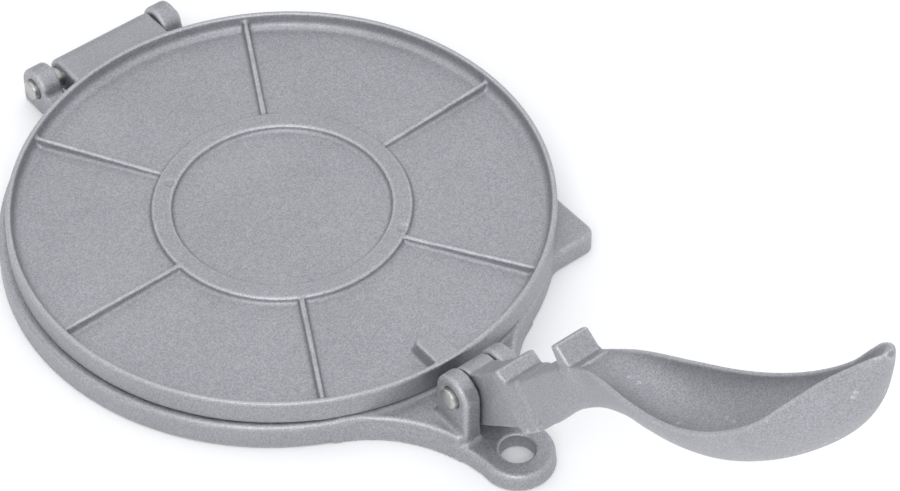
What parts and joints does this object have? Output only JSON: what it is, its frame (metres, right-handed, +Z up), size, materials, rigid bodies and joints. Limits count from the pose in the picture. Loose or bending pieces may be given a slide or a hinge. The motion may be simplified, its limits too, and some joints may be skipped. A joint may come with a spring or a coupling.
{
  "type": "tortilla press",
  "caption": "Round cast hand press: hinged upper plate with ribs and rim, base plate with ears, hanging tab and a spoon-ended cam lever.",
  "frame": {"origin": "on the worktop under the common axis of the two round plates", "axes": "+Z up, +Y from the plate axis to the hinge pin, -Y to the lever; both pins along X"},
  "size_m": [0.208, 0.4263, 0.1995],
  "materials": {
    "cast_base": "tumbled satin casting",
    "cast_plate": "tumbled satin casting",
    "cast_lever": "tumbled satin casting",
    "steel_pin": "turned bar ends"
  },
  "bodies": {
    "base": {"base": "cast_base", "hinge_pin": "steel_pin", "lever_pin": "steel_pin"},
    "upper_plate": {"upper_plate": "cast_plate"},
    "lever": {"lever": "cast_lever"}
  },
  "joints": [
    {"name": "plate_hinge", "type": "hinge", "parent": "base", "child": "upper_plate", "pos_m": [0, 0.114, 0.0105], "axis": [-1, 0, 0], "range_deg": [0, 125]},
    {"name": "lever_pivot", "type": "hinge", "parent": "base", "child": "lever", "pos_m": [0, -0.1195, 0.0246], "axis": [-1, 0, 0], "range_deg": [0, 130]}
  ]
}
